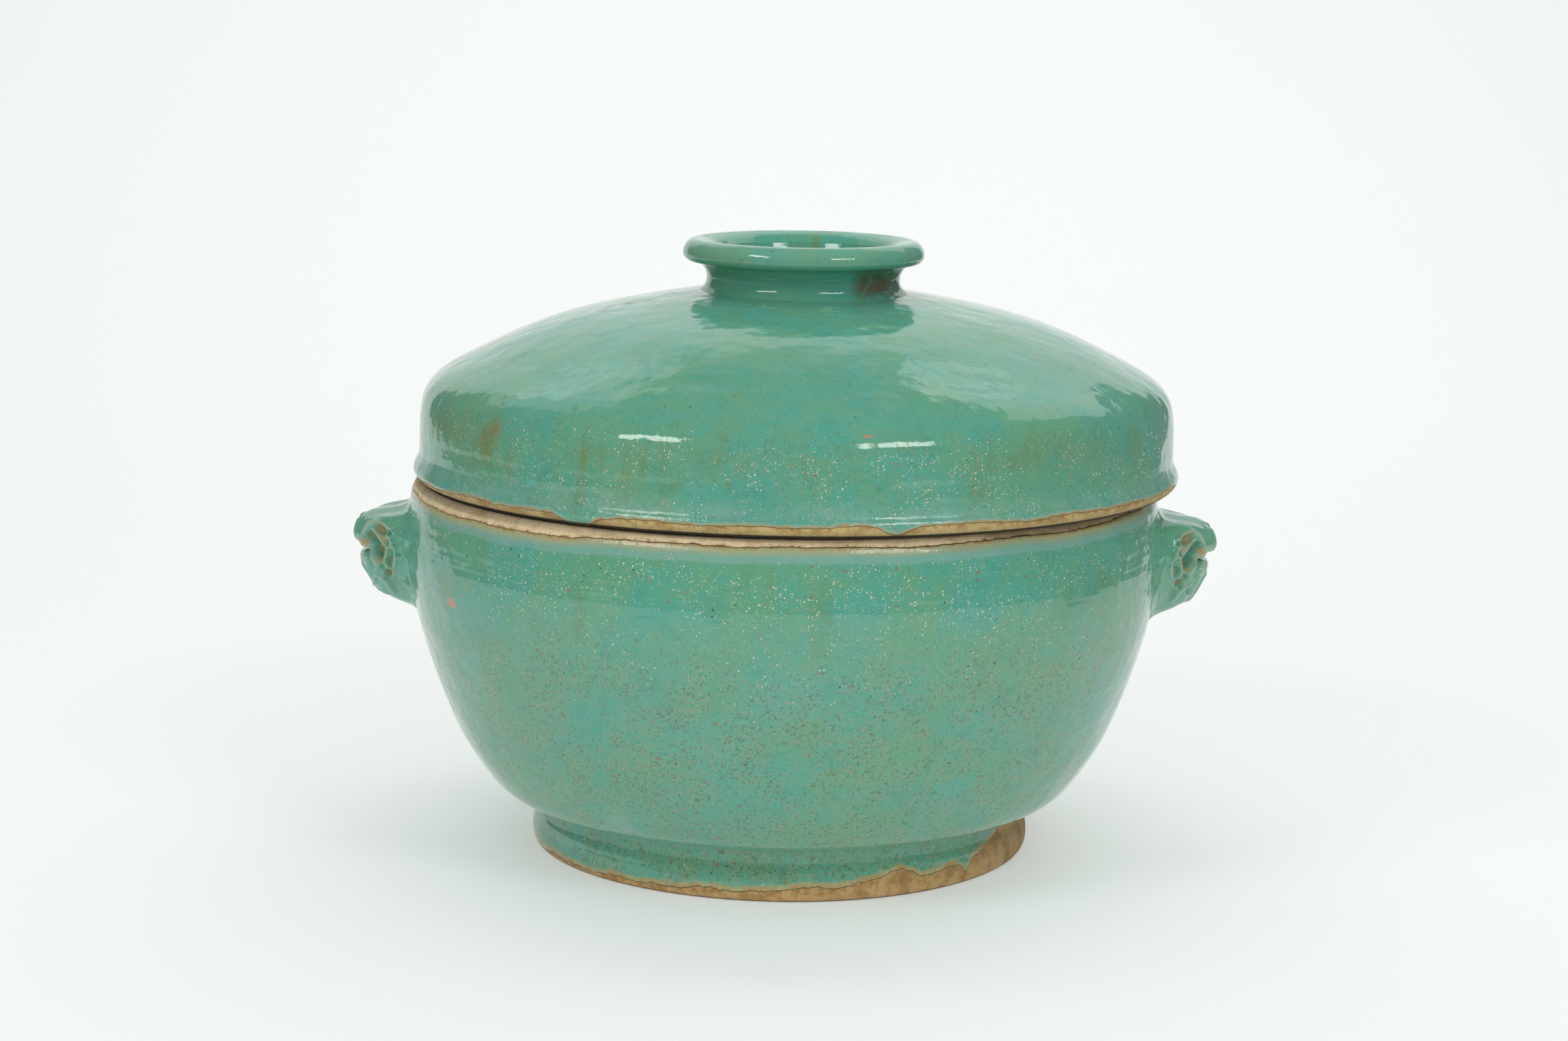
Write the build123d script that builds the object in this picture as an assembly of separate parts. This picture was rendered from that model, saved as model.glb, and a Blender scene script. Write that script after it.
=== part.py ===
from build123d import *
import os

# A lidded stoneware rice bowl, in millimetres. The bowl stands on z = 0 with its axis on z.
# Its two moulded beast masks look along +x and -x. The lid sits a little off centre, as a
# loose hand-thrown lid does, by what its locating flange allows.

foot_height = 17.0
foot_radius = 84.2
foot_waist = 82.6
foot_bore = 74.0

bowl_wall = 7.0
bowl_floor = 8.0
belly_radius = 127.0
belly_height = 98.0
rim_height = 124.2
rim_seat_radius = 120.5
rim_bore = 116.5

lid_shift = 3.7
lid_wall = 7.0
bead_radius = 127.5
bead_round = 3.6
lid_side_radius = 125.2
shoulder_height = 150.5
dome_height = 188.5

flange_radius = 111.8
flange_thickness = 5.8
flange_depth = 12.0

knob_shift = 5.3
neck_radius = 32.2
lip_radius = 40.1
lip_height = 198.2
knob_height = 203.5
knob_bore = 27.0

mask_reach = 145.0
mask_top = 113.0
mask_bottom = 79.0
mask_half_width = 22.0
mask_corner = 13.0


def turned(outline, shift=0.0):
    """A closed outline of edges in the x-z plane, turned about the upright axis at x = shift."""
    section = Plane.XZ * make_face(outline)
    return Pos(shift, 0, 0) * revolve(section, Axis.Z)


def make_foot_ring():
    """Thrown ring, waisted under the bowl, with a flat base and an eased lower edge."""
    top = (foot_waist + 0.8, foot_height)
    toe = (foot_radius - 0.4, 1.5)
    side = Spline(top, (foot_waist, foot_height - 4), (foot_radius, 5), toe)
    base = Polyline(toe, (foot_radius - 1.9, 0), (foot_bore + 1.5, 0), (foot_bore, 1.5),
                    (foot_bore - 1, foot_height), top)
    return turned([side, base])


def make_bowl():
    """Deep bowl: a nearly flat underside, full belly, and a rim that slopes out from its seat."""
    under = (foot_waist + 0.8, foot_height)
    throat = (belly_radius - 1.6, rim_height - 6.7)
    seat = (rim_seat_radius, rim_height)
    lip = (rim_bore, rim_height - 1.2)
    floor_edge = (66.0, foot_height + bowl_floor + 0.4)
    side = Spline(under, (95.0, 20.8), (107.8, 37.5), (119.4, 65.5), (belly_radius, belly_height),
                  throat)
    slope = ThreePointArc(throat, (rim_seat_radius + 3.5, rim_height - 2.3), seat)
    crest = Polyline(seat, (rim_bore + 1.2, rim_height), lip)
    inside = Spline(lip, (belly_radius - bowl_wall, belly_height), (112.6, 67.5), (101.3, 41.0),
                    (84.0, 28.6), floor_edge)
    closing = Polyline(floor_edge, (0, foot_height + bowl_floor), (0, foot_height), under)
    return turned([side, slope, crest, inside, closing])


def make_lid():
    """Domed lid: a rounded bead at its edge, an upright side, a soft shoulder and a low dome."""
    edge = (bead_radius - bead_round, rim_height)
    under_bead = (bead_radius - 0.29 * bead_round, rim_height + 0.29 * bead_round)
    widest = (bead_radius, rim_height + bead_round)
    side_foot = (lid_side_radius, 133.0)
    side_head = (lid_side_radius - 0.6, shoulder_height)
    inner_side = lid_side_radius - lid_wall
    inner_head = (inner_side, 144.0)
    ledge_bore = flange_radius - flange_thickness
    bead = [ThreePointArc(edge, under_bead, widest), Spline(widest, (126.6, 130.2), side_foot)]
    side = Line(side_foot, side_head)
    crown = Spline(side_head, (123.6, 154.0), (119.2, 158.0), (110.2, 163.3), (94.1, 171.2),
                   (66.2, 180.4), (34.0, 186.4), (0, dome_height))
    axis = Line((0, dome_height), (0, dome_height - lid_wall))
    under = Spline((0, dome_height - lid_wall), (34.0, 179.3), (66.2, 173.2), (94.0, 163.2),
                   (110.5, 154.5), inner_head)
    ledge = Polyline(inner_head, (inner_side, 136.0), (ledge_bore, rim_height + 5.0),
                     (ledge_bore, rim_height), edge)
    return turned([*bead, side, crown, axis, under, ledge], lid_shift)


def make_lid_flange():
    """Upright locating ring under the lid: it drops inside the rim and stops the lid sliding off."""
    bore = flange_radius - flange_thickness
    low = rim_height - flange_depth
    ring = Polyline((bore, rim_height), (flange_radius, rim_height),
                    (flange_radius - 0.8, low + 1.5), (flange_radius - 2.3, low),
                    (bore + 1.2, low), (bore, low + 1.2), close=True)
    return turned([ring], lid_shift)


def make_knob(lid):
    """Hollow grip ring: a narrow neck that flares into a rolled lip, open at the top."""
    low = dome_height - 6.0
    heel = (neck_radius + 3.0, low)
    flare = (35.6, 195.4)
    crest = (36.2, knob_height)
    mouth = (knob_bore + 4.0, 199.0)
    neck = Spline(heel, (neck_radius + 0.3, 187.8), (neck_radius, 191.0), flare)
    lip = Spline(flare, (39.2, 196.6), (lip_radius, lip_height + 0.6), (39.0, 202.2), crest,
                 (33.2, 202.2), mouth)
    bore = Line(mouth, (knob_bore, low))
    closing = Line((knob_bore, low), heel)
    return turned([neck, lip, bore, closing], knob_shift) - lid


def make_mask(bowl, side):
    """Moulded beast mask: brow and snout above the mouth, a smaller jaw below, luted to the wall."""
    inner = belly_radius - 6.0
    shelf = (128.0, mask_top - 1.0)
    mouth = (mask_reach - 3.0, 98.9)
    chin = (127.0, mask_bottom)
    back = Polyline(chin, (inner, mask_bottom), (inner, mask_top), shelf)
    snout = Spline(shelf, (140.0, 109.8), (mask_reach - 1.3, 107.2), (mask_reach, 104.3), mouth)
    jaw = Spline(mouth, (mask_reach - 2.0, 95.8), (138.6, 88.0), (134.0, 81.8), chin)
    slab = extrude(Plane.XZ * make_face([back, snout, jaw]), mask_half_width + 1, both=True)
    middle = (mask_top + mask_bottom) / 2
    front = Pos(0, middle) * RectangleRounded(2 * mask_half_width, mask_top - mask_bottom,
                                              mask_corner)
    head = slab & extrude(Plane.YZ * front, mask_reach + 5)
    head = head - bowl
    return head if side > 0 else mirror(head, Plane.YZ)


bowl = make_bowl()
lid = make_lid()
pieces = {
    "bowl": bowl,
    "foot_ring": make_foot_ring(),
    "beast_mask_left": make_mask(bowl, -1),
    "beast_mask_right": make_mask(bowl, 1),
    "lid": lid,
    "lid_flange": make_lid_flange(),
    "lid_knob": make_knob(lid),
}

os.makedirs("parts", exist_ok=True)
for name, piece in pieces.items():
    export_step(piece, f"parts/{name}.step")
    print(name, round(piece.volume / 1000), "cm3")
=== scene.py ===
import math

import bpy
import numpy as np
from mathutils import Matrix, Vector


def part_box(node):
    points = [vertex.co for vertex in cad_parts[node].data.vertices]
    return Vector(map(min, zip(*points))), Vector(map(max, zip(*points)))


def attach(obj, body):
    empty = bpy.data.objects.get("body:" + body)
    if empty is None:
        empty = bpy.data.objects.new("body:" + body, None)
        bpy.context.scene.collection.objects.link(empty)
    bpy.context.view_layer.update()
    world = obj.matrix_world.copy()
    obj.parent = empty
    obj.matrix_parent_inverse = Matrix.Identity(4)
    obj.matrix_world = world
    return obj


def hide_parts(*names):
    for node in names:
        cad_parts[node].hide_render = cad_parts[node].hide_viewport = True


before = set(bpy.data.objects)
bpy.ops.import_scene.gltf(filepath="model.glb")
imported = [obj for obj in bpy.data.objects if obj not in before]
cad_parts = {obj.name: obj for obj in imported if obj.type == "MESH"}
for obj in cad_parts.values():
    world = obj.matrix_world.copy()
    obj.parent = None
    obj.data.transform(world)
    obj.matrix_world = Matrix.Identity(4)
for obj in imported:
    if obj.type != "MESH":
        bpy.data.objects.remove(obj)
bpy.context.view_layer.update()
mm = 0.001


def smoothLine(points, count):
    # cubic Hermite curve through the points, spaced evenly along their chords,
    # with each tangent the mean of the two chords' slopes
    points = np.asarray(points, float)
    chord = np.r_[0.0, np.cumsum(np.linalg.norm(np.diff(points, axis=0), axis=1))]
    step = np.diff(chord)
    slope = np.diff(points, axis=0) / step[:, None]
    weight = (step[1:] / (step[1:] + step[:-1]))[:, None]
    inner = slope[:-1] * weight + slope[1:] * (1 - weight)
    tangent = np.vstack([slope[:1], inner, slope[-1:]])
    place = np.linspace(0, chord[-1], count)
    seg = np.clip(np.searchsorted(chord, place, side="right") - 1, 0, len(step) - 1)
    h = step[seg][:, None]
    t = ((place - chord[seg]) / step[seg])[:, None]
    return ((2 * t**3 - 3 * t**2 + 1) * points[seg] + (t**3 - 2 * t**2 + t) * h * tangent[seg]
            + (3 * t**2 - 2 * t**3) * points[seg + 1] + (t**3 - t**2) * h * tangent[seg + 1])


def outline(*stretches):
    # smooth stretches joined end to end: each is (points, count) and starts where the last ended
    lines = [smoothLine(points, count) for points, count in stretches]
    return np.vstack([lines[0]] + [line[1:] for line in lines[1:]])


def gridMesh(name, points, wrapRows, wrapColumns, poles=(False, False)):
    # quads between each grid point and the next row's and column's; a wrapped side joins its last
    # line to its first, and a pole closes an end column with one shared point
    rows, columns = points.shape[:2]
    index = np.arange(rows * columns).reshape(rows, columns)
    down = np.roll(index, -1, axis=0) if wrapRows else index[1:]
    up = index if wrapRows else index[:-1]
    if wrapColumns:
        upNext, downNext = np.roll(up, -1, axis=1), np.roll(down, -1, axis=1)
    else:
        up, upNext, down, downNext = up[:, :-1], up[:, 1:], down[:, :-1], down[:, 1:]
    faces = np.stack([up, down, downNext, upNext], -1).reshape(-1, 4).tolist()
    verts = points.reshape(-1, 3)
    for isPole, column, order in ((poles[0], 0, -1), (poles[1], columns - 1, 1)):
        if isPole:
            ring = index[:, column]
            tip = np.full(rows, len(verts))
            verts = np.vstack([verts, points[:, column].mean(0)])
            faces += np.stack([ring, np.roll(ring, -1), tip], -1)[:, ::order].tolist()
    mesh = bpy.data.meshes.new(name)
    mesh.from_pydata(verts.tolist(), [], faces)
    mesh.polygons.foreach_set("use_smooth", np.ones(len(mesh.polygons), bool))
    mesh.update()
    piece = bpy.data.objects.new(name, mesh)
    bpy.context.collection.objects.link(piece)
    return piece


def paint(piece, name, values):
    # one number per point, kept on the mesh for the material to read; the poles, which come
    # after the grid's points, take the last point's number
    numbers = np.asarray(values, np.float32).ravel()
    extra = len(piece.data.vertices) - numbers.size
    layer = piece.data.attributes.new(name, "FLOAT", "POINT")
    layer.data.foreach_set("value", np.r_[numbers, np.full(extra, numbers[-1], np.float32)])


def handThrown(turn, height, radius, wander):
    # the slow wander of a wheel-thrown wall, as a change of radius:
    # size * (cos(2a + z/50) + 0.6 cos(3a - z/35) + 0.3 cos(5a + z/20))
    swell = np.minimum(radius / 60, 1) * wander["size"]
    drift = (np.cos(2 * turn + height / 50 + wander["phase"])
             + 0.6 * np.cos(3 * turn - height / 35 + 2 * wander["phase"])
             + 0.3 * np.cos(5 * turn + height / 20))
    return swell * drift


def turned(name, line, centre, shape, closedRing=False, poles=(False, False)):
    # x = centre + r cos(a), y = r sin(a), z from the outline, with r the outline's radius plus
    # the hand-thrown wander
    turn = np.linspace(0, 2 * np.pi, shape["angles"], endpoint=False)[:, None]
    radius, height = line[None, :, 0], line[None, :, 1]
    radius = radius + handThrown(turn, height, radius, shape["wander"])
    height = np.broadcast_to(height, radius.shape)
    points = np.stack([centre + radius * np.cos(turn), radius * np.sin(turn), height], -1) * mm
    piece = gridMesh(name, points, True, closedRing, poles)
    return piece, np.broadcast_to(turn, radius.shape), height


class Number:
    # wraps one output of a node, so that sums on it add Math nodes
    def __init__(self, shader, socket):
        self.shader, self.socket = shader, socket

    def of(self, output):
        # another output of the same node
        return Number(self.shader, self.socket.node.outputs[output])

    def maths(self, operation, first, second):
        # first and second, joined by one Math node's operation
        return self.shader.node("ShaderNodeMath", {"operation": operation}, {0: first, 1: second})

    def __add__(self, other):
        return self.maths("ADD", self, other)

    def __radd__(self, other):
        return self.maths("ADD", other, self)

    def __sub__(self, other):
        return self.maths("SUBTRACT", self, other)

    def __rsub__(self, other):
        return self.maths("SUBTRACT", other, self)

    def __mul__(self, other):
        return self.maths("MULTIPLY", self, other)

    def __rmul__(self, other):
        return self.maths("MULTIPLY", other, self)

    def __truediv__(self, other):
        return self.maths("DIVIDE", self, other)

    def __rtruediv__(self, other):
        return self.maths("DIVIDE", other, self)

    def under(self, other):
        # the smaller of the two
        return self.maths("MINIMUM", self, other)

    def size(self):
        # the number without its sign
        return self.maths("ABSOLUTE", self, 0.0)


class Shader:
    # a material whose nodes all come from one method; place, x and z are in the piece's millimetres
    def __init__(self, name):
        self.material = bpy.data.materials.new(name)
        self.material.use_nodes = True
        self.tree = self.material.node_tree
        self.tree.nodes.clear()
        metres = self.node("ShaderNodeTexCoord", {}, {}, "Object")
        self.place = self.node("ShaderNodeVectorMath", {"operation": "SCALE"},
                               {0: metres, "Scale": 1 / mm}, "Vector")
        self.x = self.node("ShaderNodeSeparateXYZ", {}, {0: self.place})
        self.z = self.x.of(2)

    def node(self, kind, settings, sockets, output=0):
        # one node: its settings first, then its sockets' values or links
        made = self.tree.nodes.new(kind)
        for name, value in settings.items():
            setattr(made, name, value)
        for name, value in sockets.items():
            if isinstance(value, Number):
                self.tree.links.new(value.socket, made.inputs[name])
            else:
                made.inputs[name].default_value = value
        return Number(self, made.outputs[output]) if made.outputs else None

    def stretched(self, across, tall, shift):
        # place / (across, across, tall) + (shift, shift, -shift): patterns of that size in mm
        return self.node("ShaderNodeMapping", {"vector_type": "POINT"},
                         {"Vector": self.place, "Scale": (1 / across, 1 / across, 1 / tall),
                          "Location": (shift, shift, -shift)})

    def noise(self, length, detail, rough, shift, tall=1.0):
        # cloudy noise, about 0 to 1, in blotches length mm across and tall times as high
        where = self.stretched(length, length * tall, shift)
        return self.node("ShaderNodeTexNoise", {},
                         {"Vector": where, "Scale": 1.0, "Detail": detail, "Roughness": rough},
                         "Fac")

    def dots(self, spacing, low, high, share, shift, tall=1.0):
        # round dots on cells spacing mm apart: share of the cells have one, low to high mm in
        # radius, and a dot is where the distance to its cell's point is under that radius
        where = self.stretched(spacing, spacing * tall, shift)
        cell = self.node("ShaderNodeTexVoronoi", {}, {"Vector": where, "Scale": 1.0}, "Distance")
        chance = self.node("ShaderNodeSeparateColor", {}, {0: cell.of("Color")}, "Red")
        radius = (low + chance.of("Green") * (high - low)) / spacing
        return self.band(cell / radius, 1.15, 0.75) * self.band(chance + share, 1.0, 1.02)

    def band(self, value, low, high):
        # a smooth step: 0 where value is at low, 1 where it is at high
        return self.node("ShaderNodeMapRange", {"interpolation_type": "SMOOTHSTEP"},
                         {"Value": value, "From Min": low, "From Max": high})

    def hump(self, value, centre, half):
        # 1 at centre, falling smoothly to 0 at half either side
        return self.band((value - centre).size(), half, 0.0)

    def mix(self, share, first, second):
        # first * (1 - share) + second * share, for two colours
        first, second = [colour if isinstance(colour, Number) else (*colour, 1.0)
                         for colour in (first, second)]
        return self.node("ShaderNodeMix", {"data_type": "RGBA"}, {0: share, 6: first, 7: second}, 2)

    def read(self, name):
        # a number that the mesh carries at each point
        return self.node("ShaderNodeAttribute", {"attribute_name": name}, {}, "Fac")

    def finish(self, sockets):
        # the surface, with these values and links on its sockets
        surface = self.node("ShaderNodeBsdfPrincipled", {}, sockets)
        self.node("ShaderNodeOutputMaterial", {}, {"Surface": surface})
        return self.material


# colours are linear red, green and blue
glaze = {
    "teal": (0.086, 0.372, 0.286),
    "green": (0.124, 0.366, 0.222),
    "deep": (0.06, 0.275, 0.205),
    "olive": (0.165, 0.235, 0.07),
    "cream": (0.8, 0.76, 0.58),
    "rust": (0.26, 0.12, 0.035),
    "amber": (0.42, 0.25, 0.075),
    "speck": (0.045, 0.035, 0.018),
    "milk": (0.24, 0.43, 0.37),
    "straw": (0.44, 0.42, 0.21),
    "tan": (0.32, 0.31, 0.2),
    "thin": (0.42, 0.5, 0.38),
    "fleck": (0.1, 0.135, 0.075),
    "chip": (0.47, 0.26, 0.165),
    "murk": (0.055, 0.13, 0.075),
    "burnt": (0.29, 0.145, 0.03),
    # near black for real scuffs and for painted shade in the lid's gap, under the lid's overhang
    # and along the foot
    "dirtAndShade": (0.012, 0.008, 0.005),
    "gloss": 0.075,  # roughness of clean glaze
    "ior": 1.55,
}

# how strongly colours cover, the roughness that things add, and the mm that they rise by
strengths = {"pits": 0.85, "tan": 0.62, "fleck": 0.6, "rust": 0.55, "speck": 0.8, "thin": 0.55,
             "deep": 0.65, "bloom": 0.55, "straw": 0.85, "toast": 0.8, "toastGrain": 0.5}
dulls = {"pits": 0.18, "thin": 0.14, "bloom": 0.22, "dirtAndShade": 0.25, "clay": 0.62}
rises = {"swell": 1.0, "peel": 0.20, "ripple": 0.018, "tanGrain": 0.012, "pits": 0.10,
         "rust": 0.05, "edgeStep": 0.28, "clayGrain": 0.10, "toast": 0.05, "crumbs": 0.07}

# plain noise: size in mm, detail, roughness, and how far it is moved from the others
noises = {
    "edge": (3, 3, 0.6, 0),
    "cloud": (34, 3, 0.6, 0),
    "fine": (9, 4, 0.65, 7),
    "tanGrain": (0.7, 2, 0.6, 101),
    "fleckGrain": (1, 2, 0.6, 111),
    "clayGrain": (0.7, 3, 0.7, 0),
    "swell": (19, 2, 0.5, 93),
    "peel": (6.5, 2, 0.5, 91),
    "ripple": (1.9, 2, 0.5, 95),
    "crumbs": (1.1, 2, 0.6, 161),
}

# noise in patches: the same, the levels where a patch starts and is full, its strength, and, for
# upright ones, how much taller than wide they are
patches = {
    "pools": (11, 5, 0.7, 21, 0.5, 0.72, 0.35),
    "haze": (17, 5, 0.7, 27, 0.48, 0.72, 0.14),
    "runs": (5, 3, 0.6, 3, 0.5, 0.68, 1, 7),
    "runPatches": (42, 2, 0.5, 11, 0.48, 0.6, 1),
    "spotEdge": (1.6, 2, 0.6, 0, 0.35, 0.6, 0.6),
    "clusters": (15, 3, 0.6, 31, 0.32, 0.6, 1),
    "pitTint": (3, 2, 0.5, 2, 0.35, 0.52, 1),
    "speckle": (11, 4, 0.6, 121, 0.15, 0.58, 1),
    "speckPatches": (18, 2, 0.5, 41, 0.42, 0.62, 1),
    "hollowAmber": (4, 2, 0.5, 51, 0.4, 0.6, 0.9),
    "bloom": (8, 4, 0.65, 61, 0.3, 0.72, 1),
    "olive": (2.2, 4, 0.7, 131, 0.25, 0.6, 1, 2),
    "stain": (4, 4, 0.7, 71, 0.25, 0.55, 0.85),
    "murk": (4, 5, 0.75, 141, 0.52, 0.7, 1),
    "amberEdge": (2.5, 3, 0.6, 151, 0.35, 0.55, 0.75),
    "toast": (9, 5, 0.75, 81, 0.43, 0.66, 1),
    "smear": (4, 5, 0.75, 83, 0.46, 0.6, 0.8),
}

# round dots: cell size, smallest and largest radius in mm, how far moved, and how much taller
dots = {
    "oliveSpots": (21, 1.2, 3, 5, 1.6),
    "pinholes": (1.15, 0.14, 0.33, 0, 1),
    "smallPinholes": (0.7, 0.09, 0.21, 17, 1),
    "specks": (2.6, 0.18, 0.4, 9, 1),
    "rustSpots": (3.1, 0.3, 0.75, 13, 1),
}

# what the pieces' glazes share; each piece's own look changes some of it
commonLook = {
    "ragged": 1,  # mm that the glaze's edge wanders by
    "pinholeZone": (0, 1, 6),  # lowest, highest, and the lower fade
    "pinholes": 0,  # share of cells with one
    "runs": 0.5,  # strength of olive runs and spots
    "runZone": (0, 10),  # heights between which the runs lie
    "specks": 0.2,  # share of cells with one
    "thinEdge": 1,  # mm of straw-coloured glaze beside the clay
    "milkEdge": 0.6,  # strength of the milky line before it
    "amberEdge": 0.7,  # mm, half the amber line's width
    "rings": 0.2,  # mm of throwing rings
    "murk": 0,  # strength of dark patches
    "stain": (0.17, 0.085, 0.03),
    "speckle": 0,  # strength of the fine tan and dark grains
    "speckleTop": 240,  # height above which they thin out
    "clay": (0.53, 0.4, 0.165),
    "toast": (0.28, 0.18, 0.055),
    "smear": 2.5,  # mm of burnt amber on the clay
}


def noiseOf(s, look, name):
    # one of the plain noises, moved by the piece's own shift
    size, detail, rough, away = noises[name]
    return s.noise(size, detail, rough, look["shift"] + away)


def patchesOf(s, look, name):
    # noise stepped smoothly between two levels, times its strength
    size, detail, rough, away, low, high, strength, *tall = patches[name]
    return s.band(s.noise(size, detail, rough, look["shift"] + away, *tall), low, high) * strength


def dotsOf(s, look, name, share):
    # one kind of dot, in a share of its cells
    spacing, low, high, away, tall = dots[name]
    return s.dots(spacing, low, high, share, look["shift"] + away, tall)


def mottled(s, look, fine):
    # teal to green by 0.55 cloud + 0.45 fine, deep pools, milky haze, and olive: tall runs inside
    # broad patches and between the look's two heights, and a few large spots
    blotch = s.band(noiseOf(s, look, "cloud") * 0.55 + fine * 0.45, 0.38, 0.62)
    colour = s.mix(blotch, glaze["teal"], glaze["green"])
    colour = s.mix(patchesOf(s, look, "pools"), colour, glaze["deep"])
    colour = s.mix(patchesOf(s, look, "haze"), colour, glaze["milk"])
    low, high = look["runZone"]
    fade = 6
    zone = s.band(s.z, low, low + fade) * s.band(s.z, high, high - fade)
    runs = patchesOf(s, look, "runs") * patchesOf(s, look, "runPatches") * zone * look["runs"]
    colour = s.mix(runs, colour, glaze["olive"])
    spots = dotsOf(s, look, "oliveSpots", 0.5) * patchesOf(s, look, "spotEdge") * look["runs"]
    return s.mix(spots, colour, glaze["olive"])


def pinholed(s, look, colour):
    # cream and amber pits, dense in clusters between the look's two heights
    low, high, fade = look["pinholeZone"]
    inZone = s.band(s.z, low - fade, low + fade) * s.band(s.z, high + 4, high - 6)
    share = patchesOf(s, look, "clusters") * inZone * look["pinholes"]
    pits = dotsOf(s, look, "pinholes", share)
    small = dotsOf(s, look, "smallPinholes", share)
    tint = s.mix(patchesOf(s, look, "pitTint"), glaze["amber"], glaze["cream"])
    share = (pits + small * 0.7).under(1.0) * strengths["pits"]
    return s.mix(share, colour, tint), pits, small


def speckled(s, look, colour, tanGrain):
    # fine tan and dark grains, thickest below the look's height, then rust and iron spots
    top = look["speckleTop"]
    below = s.band(s.z, top + 12, top - 25) * 0.85 + 0.15
    amount = below * patchesOf(s, look, "speckle") * look["speckle"]
    tan = s.band(tanGrain + amount * 0.10, 0.58, 0.68)
    colour = s.mix(tan * amount * strengths["tan"], colour, glaze["tan"])
    dark = s.band(noiseOf(s, look, "fleckGrain") + amount * 0.07, 0.62, 0.70)
    colour = s.mix(dark * amount * strengths["fleck"], colour, glaze["fleck"])
    share = patchesOf(s, look, "speckPatches") * look["specks"]
    specks = dotsOf(s, look, "specks", share)
    rust = dotsOf(s, look, "rustSpots", share * 0.8)
    colour = s.mix(rust * strengths["rust"], colour, glaze["rust"])
    return s.mix(specks * strengths["speck"], colour, glaze["speck"]), rust


def pooled(s, look, colour):
    # glaze runs thin and pale off raised lines, and lies deep, then amber, in hollows
    hollow = s.read("hollow")
    raised = s.band(hollow, -0.15, -0.75) * strengths["thin"]
    sunk = s.band(hollow, 0.15, 0.8) * strengths["deep"]
    colour = s.mix(sunk, s.mix(raised, colour, glaze["thin"]), glaze["deep"])
    amber = s.band(hollow, 0.75, 1.5) * patchesOf(s, look, "hollowAmber")
    return s.mix(amber, colour, glaze["amber"])


def clayColour(s, look, bare, grain, toast):
    # bare clay with toasted patches and grains, and burnt amber smears beside the glaze
    clay = s.mix(toast * strengths["toast"], look["clay"], look["toast"])
    grains = s.band(grain, 0.50, 0.72) * strengths["toastGrain"]
    clay = s.mix(grains, clay, look["toast"])
    smear = patchesOf(s, look, "smear") * s.band(bare, look["smear"], 0.3)
    return s.mix(smear, clay, glaze["burnt"])


def glazed(name, look):
    # turquoise glaze over clay: bare is mm past the glaze's edge, and comes from the mesh like its
    # bloom, olive, stains, chips, and its dirt with painted shade
    s = Shader(name)
    bare = s.read("bare") + (noiseOf(s, look, "edge") - 0.5) * look["ragged"]
    onClay = s.band(bare, -0.15, 0.25)
    onGlaze = 1 - onClay
    fine = noiseOf(s, look, "fine")
    tanGrain = noiseOf(s, look, "tanGrain")
    grain = noiseOf(s, look, "clayGrain")
    colour = mottled(s, look, fine)
    colour, pits, smallPits = pinholed(s, look, colour)
    colour, rust = speckled(s, look, colour, tanGrain)
    colour = pooled(s, look, colour)
    bloom = s.read("bloom") * patchesOf(s, look, "bloom")
    colour = s.mix(bloom * strengths["bloom"], colour, glaze["milk"])
    colour = s.mix(s.read("olive") * patchesOf(s, look, "olive"), colour, glaze["olive"])
    # beside the clay the glaze turns milky, then straw
    edge = look["thinEdge"]
    milky = s.band(bare + (fine - 0.5) * 1.5, edge * -1.45, edge * -1.15)
    colour = s.mix(milky * look["milkEdge"], colour, glaze["milk"])
    thin = s.band(bare, edge * -0.95, edge * -0.15)
    colour = s.mix(thin * strengths["straw"], colour, glaze["straw"])
    colour = s.mix(s.read("stain") * patchesOf(s, look, "stain"), colour, look["stain"])
    chip = s.band(s.read("chip") + (fine - 0.5) * 0.5, 0.42, 0.52)
    colour = s.mix(chip, colour, glaze["chip"])
    colour = s.mix(patchesOf(s, look, "murk") * look["murk"], colour, glaze["murk"])
    # the bare clay, an amber line along the glaze's edge, and dirt and painted shade over both
    toast = patchesOf(s, look, "toast")
    colour = s.mix(onClay, colour, clayColour(s, look, bare, grain, toast))
    amber = look["amberEdge"]
    line = s.hump(bare, amber * -0.4, amber) * patchesOf(s, look, "amberEdge")
    colour = s.mix(line, colour, glaze["amber"])
    # painted shade and dirt, read from the mesh, darken the colour towards near black
    dirtAndShade = (s.read("dirtAndShade") * (grain * 0.9 + 0.6)).under(1.0)
    colour = s.mix(dirtAndShade, colour, glaze["dirtAndShade"])
    dulled = (pits + rust).under(1.0) * dulls["pits"] + thin * dulls["thin"] \
        + bloom * dulls["bloom"]
    roughness = onClay * dulls["clay"] + dulled * onGlaze + dirtAndShade * dulls["dirtAndShade"] \
        + glaze["gloss"]
    # relief in mm: swells, orange peel, throwing rings, crumbs by the edge, the step down to the
    # clay and its grain, and pits
    skin = noiseOf(s, look, "peel") * rises["peel"] + noiseOf(s, look, "ripple") * rises["ripple"] \
        + noiseOf(s, look, "swell") * rises["swell"] + tanGrain * rises["tanGrain"]
    rings = s.node("ShaderNodeTexNoise", {"noise_dimensions": "1D"},
                   {"W": s.z * 0.16 + look["shift"], "Scale": 1.0, "Detail": 2.0,
                    "Roughness": 0.5}, "Fac")
    rough = grain * rises["clayGrain"] + toast * rises["toast"] - rises["edgeStep"]
    crumbs = s.band(bare, -7.0, -0.5) * noiseOf(s, look, "crumbs") * rises["crumbs"]
    relief = (skin + rings * look["rings"] + crumbs) * onGlaze + rough * onClay \
        - (pits + smallPits * 0.5) * rises["pits"] - rust * rises["rust"]
    bump = s.node("ShaderNodeBump", {}, {"Strength": 1.0, "Distance": mm, "Height": relief})
    return s.finish({"Base Color": colour, "Roughness": roughness, "Normal": bump,
                     "IOR": glaze["ior"]})


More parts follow.
